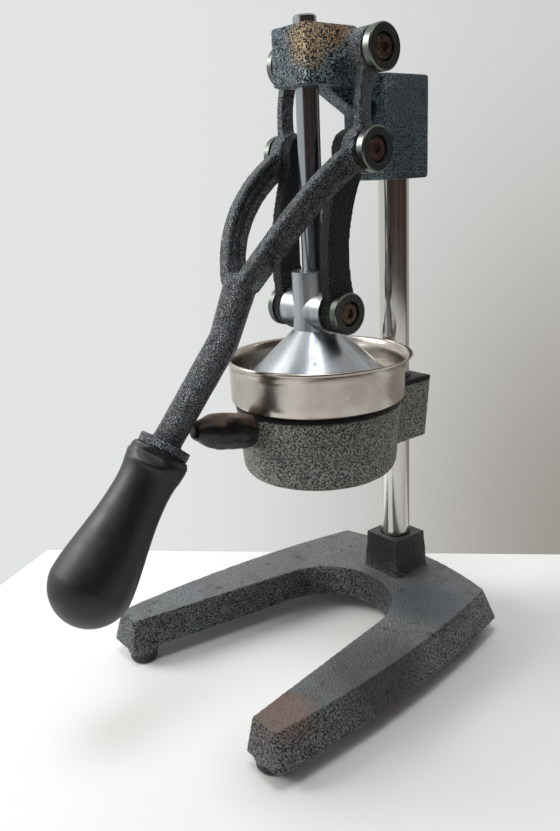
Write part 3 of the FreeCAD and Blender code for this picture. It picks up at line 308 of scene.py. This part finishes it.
# The base is a grey iron casting, open to the front, with a square boss for the column and a pad over
# each foot. It was cast in sand and sprayed with hammer paint, which has drawn into small dimples.
def hammer_paint(name, light, dark, grain, depth, flake, patches, gloss=0.34, flat_top=0.0,
                 wear_and_painted_shade=(), painted_shadow_from=None):
    """Metal paint that dried in dimples: light is the painted highlight on its crests and dark the painted
    shade in its hollows, and grain and depth are in mm. Flake is the share of metal in it, patches that
    of dust, and flat_top how far faces that look up are rubbed smooth. Each worn place is a centre and
    reach in mm, and the colour that shows on the crests there, some from wear, some painted shade. The
    last argument is a height in mm above which the paint is black, a painted shadow."""
    paint = Finish(bpy.data.materials.new(name))
    place = paint.place()
    coarse = paint.clouds(place, 0.9 * grain, 3, 0.65)
    height = 1 - paint.cells(place, grain) + 1.4 * coarse
    dimpled = 1 - flat_top * paint.ease(paint.upward(), 0.75, 0.97)
    rubbed = 0.7
    # The light tone on the crests is a painted highlight and the dark tone in the hollows painted shade;
    # faces rubbed flat take a fixed mix of both.
    crest_highlight = rubbed + dimpled * (paint.ease(height, 1.02, 1.42) - rubbed)
    colour = paint.blend(crest_highlight, dark, light)
    haze = paint.ease(paint.clouds(place, 21, 4, 0.6), 0.42, 0.72)
    colour = paint.blend(patches * haze, colour, tone(96, 82, 71))
    stain = paint.ease(paint.clouds(place, 9, 4, 0.6), 0.56, 0.7)
    colour = paint.blend(0.55 * stain, colour, tone(30, 31, 31))
    # Each patch shows on the crests round its centre: worn paint at some, painted shade at others.
    for centre, reach, patch_tone in wear_and_painted_shade:
        away = paint.node("ShaderNodeVectorMath", {"operation": "DISTANCE"}, {0: place, 1: centre}, 1)
        ragged = away + 10 * paint.clouds(place, 6, 3)
        near = 1 - paint.ease(ragged, 0.6 * reach, 1.2 * reach)
        colour = paint.blend(near * crest_highlight, colour, patch_tone)
    # Painted shadow: the band below the cup's top is black where the bowl's edge shades it.
    if painted_shadow_from:
        level = paint.split(place)[2] + 1.5 * coarse
        colour = paint.blend(paint.ease(level, painted_shadow_from - 0.6, painted_shadow_from + 1.2), colour, tone(8, 9, 9))
    return paint.shade(
        Base_Color=colour,
        Metallic=flake,
        Roughness=gloss + 0.12 * haze + 0.1 * stain,
        Normal=paint.relief(dimpled * height, depth),
    )


def middle_of(node):
    low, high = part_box(node)
    return (low + high) / 2


def welded(node):
    """A CAD node's mesh with its face borders closed, ready to be reshaped."""
    shape = bmesh.new()
    shape.from_mesh(nodes[node].data)
    bmesh.ops.remove_doubles(shape, verts=shape.verts, dist=0.000002)
    return mesh_from(shape, node)


def remeshed(raw, grain, rounding=0):
    """The mesh of a rough piece as one skin of cells as wide as grain, smoothed over rounding times."""
    skin = raw.modifiers.new("skin", "REMESH")
    skin.mode = "VOXEL"
    skin.voxel_size = grain
    if rounding:
        soft = raw.modifiers.new("rounding", "SMOOTH")
        soft.factor = 0.5
        soft.iterations = rounding
    mesh = bpy.data.meshes.new_from_object(raw.evaluated_get(bpy.context.evaluated_depsgraph_get()))
    bpy.data.objects.remove(raw)
    return mesh


def press_in(mesh, depth_at):
    """Moves each point of a smooth mesh inwards by the depth found for its place and its normal."""
    normals = [point.normal.copy() for point in mesh.vertices]
    for point, normal in zip(mesh.vertices, normals):
        point.co -= normal * depth_at(point.co, normal)
    mesh.shade_smooth()


def stand_in(node, piece, finish):
    """The piece takes the node's place, moves with its body and has the finish."""
    piece.data.materials.clear()
    piece.data.materials.append(finish)
    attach(piece, nodes[node].parent.name.removeprefix("body:"))
    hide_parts(node)


def cast_piece(node, finish, grain=0.0012, rounding=6, lumps=(), hollow=None):
    """A node as it came out of the sand: soft edges, and faces that aren't quite flat. Each lump is the
    foot, radius and height of a round pad that is cast on. Hollow gives the depth of what is cast in."""
    raw = new_piece(node + "_raw", welded(node))
    if lumps:
        shape = bmesh.new()
        shape.from_mesh(raw.data)
        for foot, radius, height in lumps:
            middle = Matrix.Translation(foot + Vector((0, 0, height / 2)))
            bmesh.ops.create_cone(shape, cap_ends=True, segments=40, radius1=0.9 * radius, radius2=radius,
                                  depth=height, matrix=middle)
        shape.to_mesh(raw.data)
        shape.free()
    mesh = remeshed(raw, grain, rounding)
    swell = 0.00012
    broad_waves, fine_waves = 90, 260

    def depth_at(place, normal):
        waves = noise.noise(place * broad_waves) + 0.5 * noise.noise(place * fine_waves)
        uneven = swell * (1 - waves)
        return uneven + hollow(place, normal) if hollow else uneven

    press_in(mesh, depth_at)
    stand_in(node, new_piece(node + "_cast", mesh), finish)


# Rust and rubbed paint near the end of the right leg, dirt along its middle, painted shade on the
# boss for the bowl's shadow, and a bluish patch behind it on the right.
base_wear_and_shade = [
    ((80, -62, 36), 26, tone(160, 130, 112)),
    ((80, -100, 36), 18, tone(150, 138, 128)),
    ((86, 14, 36), 44, tone(88, 83, 82)),
    # Painted shade: the boss darkened for the shadow of the bowl above it.
    ((0, 122, 60), 34, tone(42, 36, 33)),
    ((58, 96, 36), 34, tone(86, 95, 103)),
]
base_paint = hammer_paint(
    "base_hammer_paint", light=tone(150, 153, 155), dark=tone(56, 59, 62), grain=1.2, depth=3.0,
    flake=0.8, patches=0.35, flat_top=0.7, wear_and_painted_shade=base_wear_and_shade)
foot_names = [name for name in nodes if name.startswith("foot_") and name != "foot_screws"]
pad_radius, pad_height, pad_reach_down = 0.0125, 0.009, 0.0055
foot_pads = []
for name in foot_names:
    foot_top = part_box(name)[1].z
    pad_place = middle_of(name)
    pad_place.z = foot_top - pad_reach_down
    foot_pads.append((pad_place, pad_radius, pad_height))
cast_piece("base_casting", base_paint, grain=0.001, rounding=9, lumps=foot_pads)


# The four feet are moulded rubber discs with a hollow underneath, each held up into the base by a
# screw whose head is sunk in the hollow.
def rubber(name, colour, dust_colour, dust, gloss, pitting):
    """Moulded rubber with pits of the given depth in mm, and dust that lies on what faces up."""
    stuff = Finish(bpy.data.materials.new(name))
    place = stuff.place()
    dirt = stuff.ease(stuff.clouds(place, 9, 4, 0.6) + 0.45 * stuff.upward(), 0.62, 0.95)
    grain = stuff.clouds(place, 0.7, 4, 0.7)
    return stuff.shade(
        Base_Color=stuff.blend(dust * dirt, colour, dust_colour),
        Roughness=gloss + 0.3 * dust * dirt + 0.06 * grain,
        Normal=stuff.relief(grain, pitting),
    )


def join_rings(shape, rings):
    for first, second in zip(rings, rings[1:]):
        for step in range(len(first)):
            following = (step + 1) % len(first)
            shape.faces.new([first[step], first[following], second[following], second[step]])


def rubber_foot(name, finish):
    low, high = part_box(name)
    middle = middle_of(name)
    radius = (high.x - low.x) / 2
    height = high.z - low.z
    hollow, roof_rise, edge = 0.55 * radius, 0.0033, 0.0026
    outline = [(hollow, 0.0012), (hollow + 0.0007, 0.0002), (hollow + 0.0016, 0)]
    for step in range(9):
        angle = math.pi / 2 * step / 8
        outline.append((radius - edge + edge * math.sin(angle), edge - edge * math.cos(angle)))
    outline += [(radius - 0.0001, 0.5 * height), (radius - 0.0008, 0.8 * height), (radius - 0.0009, height)]
    around = 64
    shape = bmesh.new()
    rings = []
    for reach, rise in outline:
        ring = []
        for step in range(around):
            angle = 2 * math.pi * step / around
            way = Vector((math.cos(angle), math.sin(angle), 0))
            sag = 0.0004 * noise.noise(middle * 90 + way * 2.4) * math.sin(math.pi * min(rise / height, 1))
            ring.append(shape.verts.new(Vector((middle.x, middle.y, low.z + rise)) + way * (reach + sag)))
        rings.append(ring)
    join_rings(shape, rings)
    roof = [shape.verts.new(point.co + Vector((0, 0, roof_rise))) for point in rings[0]]
    join_rings(shape, [roof, rings[0]])
    shape.faces.new(roof)
    shape.faces.new(rings[-1])
    bmesh.ops.recalc_face_normals(shape, faces=shape.faces)
    mesh = mesh_from(shape, "rubber_" + name)
    mesh.shade_smooth()
    mesh.set_sharp_from_angle(angle=math.radians(50))
    stand_in(name, new_piece("rubber_" + name, mesh), finish)


dusty_rubber = rubber(
    "foot_rubber", tone(34, 37, 40), dust_colour=tone(92, 90, 86), dust=0.5, gloss=0.5, pitting=0.1)
for name in foot_names:
    rubber_foot(name, dusty_rubber)


# The foot screws, the bolt and washer under the column, the clamps' set screws and the screws of the
# bumper and the rod are zinc-plated steel, bought as they are. They stay as the CAD shaped them.
def coat(names, finish):
    for name in names:
        for slot in nodes[name].material_slots:
            slot.material = finish


def screw_steel(name, colour, rust, spread):
    """Zinc-plated steel that has begun to rust: spread is the share that has turned brown."""
    steel = Finish(bpy.data.materials.new(name))
    spots = steel.clouds(steel.place(), 1.8, 5, 0.65)
    rusty = steel.ease(spots, 0.62 - 0.3 * spread, 0.78 - 0.3 * spread)
    return steel.shade(
        Base_Color=steel.blend(rusty, colour, rust),
        Metallic=1 - 0.85 * rusty,
        Roughness=0.28 + 0.5 * rusty,
        Normal=steel.relief(spots + rusty, 0.06),
    )


zinc = screw_steel("zinc_steel", tone(176, 176, 172), rust=tone(96, 62, 42), spread=0.25)
zinc_fasteners = ["foot_screws", "column_bolt", "column_washer", "head_set_screw", "holder_set_screw"]
coat(zinc_fasteners + ["bumper_screw", "rod_screw", "rod_washer"], zinc)


# The column is a bright chromed bar that stands in the base's boss, with fine marks along it where
# the holder and the head were slid up and down. The press rod is a thinner one, gone dull.
def chrome(name, colour, blur, wear):
    """Chrome plate with lengthwise marks and small brown spots: wear is the share of both."""
    plate = Finish(bpy.data.materials.new(name))
    place = plate.place()
    marks = plate.clouds(plate.place((1, 1, 0.02)), 0.5, 3, 0.6)
    spots = plate.ease(plate.clouds(place, 2.2, 5, 0.7), 0.66, 0.8)
    haze = plate.clouds(place, 14, 3)
    return plate.shade(
        Base_Color=plate.blend(spots * wear, colour, tone(104, 76, 58)),
        Metallic=1 - 0.4 * wear * spots,
        Roughness=blur + 0.05 * marks + 0.08 * haze + 0.3 * wear * spots,
        Normal=plate.relief(marks, 0.01 * wear),
    )


coat(["column"], chrome("bright_chrome", tone(206, 204, 200), blur=0.09, wear=0.6))
coat(["press_rod"], chrome("dull_chrome", tone(158, 162, 168), blur=0.14, wear=0.4))


# The cup holder is an iron casting in the same paint: a cup on an arm, clamped to the column from
# the back, with a lug in front for the rubber bumper. Its upper rim is painted black, a painted shadow
# under the bowl's edge.
cup_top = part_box("cup_holder")[1].z * 1000
bowl_shadow_band = 3.5
cup_paint = hammer_paint(
    "cup_hammer_paint", light=tone(184, 185, 176), dark=tone(74, 78, 75), grain=1.2, depth=2.5,
    flake=0.6, patches=0.25, painted_shadow_from=cup_top - bowl_shadow_band)
cast_piece("cup_holder", cup_paint)


# The juice bowl is spun from aluminium sheet, with its rim rolled outwards over a bead. Years of
# knocks have bent the lip out a little at its right.
def spun_aluminium():
    metal = Finish(bpy.data.materials.new("spun_aluminium"))
    place = metal.place()
    rings = metal.clouds(metal.place((0.01, 0.01, 1)), 0.5, 3, 0.6)
    haze = metal.ease(metal.clouds(place, 26, 3, 0.5), 0.35, 0.75)
    specks = metal.ease(metal.clouds(place, 1.5, 4, 0.6), 0.66, 0.76)
    clean = metal.blend(haze, tone(196, 190, 182), tone(176, 166, 156))
    return metal.shade(
        Base_Color=metal.blend(0.5 * specks, clean, tone(96, 82, 70)),
        Metallic=1 - 0.3 * specks,
        Roughness=0.19 + 0.09 * rings + 0.06 * haze,
        Normal=metal.relief(rings, 0.02),
    )


def juice_bowl():
    centre = middle_of("bowl")
    rim_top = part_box("bowl")[1].z
    lip_height = 0.009
    lip_reach = 0.0062
    lip_angle = camera_azimuth + math.radians(62)
    lip_spread = 0.6
    dent_depth = 0.0004
    dent_waves = 38
    mesh = welded("bowl")
    for point in mesh.vertices:
        arm = Vector((point.co.x - centre.x, point.co.y - centre.y, 0))
        off = math.atan2(arm.x, -arm.y) - lip_angle
        turn = math.atan2(math.sin(off), math.cos(off))
        near_rim = min(max((point.co.z - rim_top + lip_height) / lip_height, 0), 1)
        knock = math.exp(-((turn / lip_spread) ** 2)) * near_rim * near_rim
        dent = dent_depth * noise.noise(point.co * dent_waves)
        point.co += arm.normalized() * (lip_reach * knock + dent * near_rim)
    mesh.shade_smooth()
    mesh.set_sharp_from_angle(angle=math.radians(32))
    stand_in("bowl", new_piece("juice_bowl", mesh), spun_aluminium())


juice_bowl()


# The strainer in the bowl and the press cone over it are cast aluminium. The cone has been polished
# on the outside and shows faint turning marks.
def cast_aluminium(name, colour, blur, marks):
    """Aluminium with painted reflection bands in wedges round the upright axis of the press, where
    it is also rougher.
    """
    metal = Finish(bpy.data.materials.new(name))
    place = metal.place()
    axis = (0, middle_of("press_cone").y * 1000, 0)
    arm = metal.node("ShaderNodeVectorMath", {"operation": "SUBTRACT"}, {0: place, 1: axis})
    flat = metal.node("ShaderNodeVectorMath", {"operation": "MULTIPLY"}, {0: arm, 1: (1, 1, 0.003)})
    round_axis = metal.node("ShaderNodeVectorMath", {"operation": "NORMALIZE"}, {0: flat})
    reflection_wedges = metal.ease(metal.clouds(round_axis, 0.42, 2, 0.6), 0.4, 0.6)
    rings = metal.clouds(metal.place((0.02, 0.02, 1)), 0.7, 3, 0.6)
    stain = metal.ease(metal.clouds(place, 7, 5, 0.6), 0.52, 0.8)
    speckle = metal.ease(metal.clouds(place, 1.2, 3, 0.6), 0.5, 0.8)
    # Painted reflection: the wedges darken the colour in bands round the axis.
    shaded = metal.blend(0.55 * reflection_wedges, colour, tone(128, 132, 136))
    return metal.shade(
        Base_Color=metal.blend(0.35 * stain + 0.3 * speckle, shaded, tone(118, 116, 110)),
        Metallic=1 - 0.2 * stain,
        Roughness=blur + 0.14 * reflection_wedges + 0.14 * stain,
        Normal=metal.relief(marks * rings + 0.5 * speckle, 0.03),
    )


coat(["press_cone"], cast_aluminium("polished_aluminium", tone(180, 184, 188), blur=0.27, marks=0.8))
coat(["strainer_cone"], cast_aluminium("cast_aluminium", tone(204, 204, 200), blur=0.38, marks=0.3))


# The bumper is a stub of black rubber on the front of the cup holder, cut by hand. The handle comes
# to rest on it, which has dented and polished its nose.
def bumper():
    mesh = remeshed(new_piece("bumper_raw", welded("bumper")), grain=0.0007)
    facet = 0.011
    shallow, slope, steepest = 0.0003, 0.0012, 0.8

    def cut_depth(place, normal):
        from_middle = noise.voronoi(place / facet)[0][0]
        return shallow + slope * min(from_middle, steepest)

    press_in(mesh, cut_depth)
    black = rubber(
        "bumper_rubber", tone(10, 10, 11), dust_colour=tone(104, 84, 72), dust=0.75, gloss=0.3, pitting=0.05)
    stand_in("bumper", new_piece("bumper_stub", mesh), black)


bumper()


# The head is one iron casting of two blocks joined by an arm with a gusset. The rear block clamps on
# the column, and the front one guides the press rod. The front one has golden patches on its right,
# and the rear block is darkened with painted shade.
rear_block = middle_of("head_set_screw") * 1000
head_patches_and_shade = [
    ((17, 36, 420), 22, tone(220, 186, 136)),
    ((18, 58, 427), 18, tone(206, 166, 118)),
    # Painted shade: the rear block darkened for its side that faces away from the light.
    (rear_block, 66, tone(58, 72, 82)),
]
head_paint = hammer_paint(
    "head_hammer_paint", light=tone(156, 170, 176), dark=tone(38, 46, 51), grain=1.1, depth=2.0,
    flake=0.96, patches=0.05, gloss=0.28, wear_and_painted_shade=head_patches_and_shade)
cast_piece("head_casting", head_paint)


# The two lower links are flat iron bars with an eye at each end, dipped in a thicker black paint
# that has dried in coarse wrinkles.
link_paint = hammer_paint(
    "black_link_paint", light=tone(14, 15, 16), dark=tone(5, 5, 6), grain=1.5, depth=1.8,
    flake=0.4, patches=0.03)
for link in ("lower_link_left", "lower_link_right"):
    cast_piece(link, link_paint, grain=0.0009, rounding=4)


# The handle is one casting: collar, bar, fork, two bosses and two upper arms. Hands have rubbed its
# relief low, and the collar is dark. The fork's arms bend round one centre, with a channel along each.
grip_ball_radius = 25.6
collar_from_ball = Vector((0, 57, 72))
grip_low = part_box("grip")[0] * 1000
collar = Vector((0, grip_low.y + grip_ball_radius, grip_low.z + grip_ball_radius)) + collar_from_ball
handle_paint = hammer_paint(
    "worn_handle_paint", light=tone(116, 119, 122), dark=tone(56, 59, 62), grain=1.0, depth=0.6,
    flake=0.96, patches=0.1, gloss=0.22, wear_and_painted_shade=[(collar, 19, tone(34, 34, 36))])


arm_bend_radius = 0.1434
arm_bend_centre = middle_of("fork_pivot_washer_left") + Vector((0, 0.0583, -0.131))


def arm_channel(place, normal):
    """How deep the channel is at a place, along the flat sides of the fork's arms."""
    half_width, depth, wall = 0.0052, 0.0021, 0.0012
    start, end, run_out = math.radians(30), math.radians(62), 0.04
    inner_side = 0.009
    if abs(place.x) < inner_side or abs(normal.x) < 0.5:
        return 0
    back = arm_bend_centre.y - place.y
    up = place.z - arm_bend_centre.z
    turn = math.atan2(back, up)
    if not start - run_out < turn < end + run_out:
        return 0
    off = abs(math.hypot(back, up) - arm_bend_radius)
    sunk = min(max((half_width - off) / wall, 0), 1)
    ends = min(max((turn - start) / run_out, 0), 1) * min(max((end - turn) / run_out, 0), 1)
    return depth * sunk * ends


cast_piece("handle_casting", handle_paint, grain=0.001, hollow=arm_channel)


# Each pivot has a thick turned steel washer with a sunk face, and a socket screw in the middle of it.
# The edge and the sunk face are lighter, the ring between them darker and greener, and the screws are rusty.
def washer_steel(node):
    low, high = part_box(node)
    centre = middle_of(node) * 1000
    radius = (high.z - low.z) * 1000 / 2
    steel = Finish(bpy.data.materials.new(node + "_steel"))
    place = steel.place()
    parts = steel.split(place)
    away = ((parts[1] - centre.y) ** 2 + (parts[2] - centre.z) ** 2) ** 0.5
    outside_screw = steel.ease(away, 0.6 * radius, 0.66 * radius)
    inside_edge = 1 - steel.ease(away, 0.9 * radius, 0.96 * radius)
    ring = outside_screw * inside_edge
    dirt = steel.clouds(place, 2.5, 5, 0.65)
    ring_tone = steel.blend(steel.ease(dirt, 0.4, 0.7), tone(62, 68, 68), tone(84, 84, 76))
    rubbed = steel.blend(dirt, tone(124, 130, 124), tone(84, 86, 80))
    return steel.shade(
        Base_Color=steel.blend(ring, rubbed, ring_tone),
        Metallic=1 - 0.3 * ring,
        Roughness=0.26 + 0.14 * ring + 0.15 * dirt,
        Normal=steel.relief(dirt, 0.05),
    )


rusty_screw = screw_steel("rusty_screw_steel", tone(110, 92, 80), rust=tone(72, 46, 34), spread=0.55)
for name in nodes:
    if "pivot_washer" in name:
        coat([name], washer_steel(name))
    if "pivot_screw" in name:
        coat([name], rusty_screw)


# The grip is black rubber moulded onto the handle's tang, swelling to a ball at its end. Its upper
# rim has torn where it meets the collar, and the rubber stands out in a flap beside the tear.
def grip():
    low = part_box("grip")[0]
    slope = math.radians(51.3)
    ball = grip_ball_radius / 1000
    ball_centre = Vector((0, low.y + ball, low.z + ball))
    rising = Vector((0, math.cos(slope), math.sin(slope)))
    sideways = Vector((1, 0, 0))
    rearward = rising.cross(sideways)
    length = 0.0877
    top = ball_centre + rising * length
    # Depth below the top and radius there, in mm: a rim with a bead, a waist, and the swell to the ball.
    stations = (
        (0, 17.6), (4, 18.9), (9, 19.1), (14, 18.0), (21, 17.0), (31, 17.4), (41, 18.3), (51, 19.8),
        (61, 21.6), (71, 23.4), (80, 24.9), (87.7, 25.5),
    )

    def profile(depth):
        for (start, first), (end, second) in zip(stations, stations[1:]):
            if depth <= end:
                share = (depth - start) / (end - start)
                eased = share * share * (3 - 2 * share)
                return (first + (second - first) * (0.5 * share + 0.5 * eased)) / 1000
        return ball

    rows = []
    for step in range(111):
        depth = length * 1000 * step / 110
        reach = min(7, 0.3 * depth)
        nearby = [profile(depth + reach * share / 4) for share in range(-4, 5)]
        rows.append((depth / 1000, sum(nearby) / len(nearby)))
    for step in range(1, 29):
        angle = math.pi / 2 * step / 29
        rows.append((length + ball * math.sin(angle), ball * math.cos(angle)))

    torn = 0.016
    tear_angle = math.radians(-45)

    def torn_edge(angle, depth):
        """How far the rim stands out of the profile: ragged all round, split at the tear."""
        spot = Vector((math.cos(angle), math.sin(angle), depth * 160)) * 2.2
        ragged = 0.0008 * noise.noise(spot) * (1 - depth / torn)
        off = math.atan2(math.sin(angle - tear_angle), math.cos(angle - tear_angle))
        tear = math.exp(-((off / 0.5) ** 2))
        split = 0.0032 * math.exp(-(((depth - 0.004) / 0.0032) ** 2))
        flap = 0.0014 * math.exp(-(((depth - 0.0105) / 0.0022) ** 2))
        return ragged + tear * (flap - split)

    around = 144
    shape = bmesh.new()
    rings = []
    for depth, radius in rows:
        ring = []
        for step in range(around):
            angle = 2 * math.pi * step / around
            out = sideways * math.cos(angle) + rearward * math.sin(angle)
            reach = radius + torn_edge(angle, depth) if depth < torn else radius
            ring.append(shape.verts.new(top - rising * depth + out * min(reach, ball)))
        rings.append(ring)
    mouth_radius, mouth_depth = 0.010, 0.0005
    mouth = []
    for point in rings[0]:
        out = (point.co - top).normalized()
        mouth.append(shape.verts.new(top - rising * mouth_depth + out * mouth_radius))
    end = shape.verts.new(ball_centre - rising * ball)
    join_rings(shape, [mouth, *rings])
    for step in range(around):
        shape.faces.new([rings[-1][step], rings[-1][(step + 1) % around], end])
    shape.faces.new(list(reversed(mouth)))
    bmesh.ops.recalc_face_normals(shape, faces=shape.faces)
    mesh = mesh_from(shape, "rubber_grip")
    mesh.shade_smooth()
    black = rubber(
        "grip_rubber", tone(13, 14, 17), dust_colour=tone(66, 58, 54), dust=0.25, gloss=0.42, pitting=0.04)
    stand_in("grip", new_piece("rubber_grip", mesh), black)


grip()
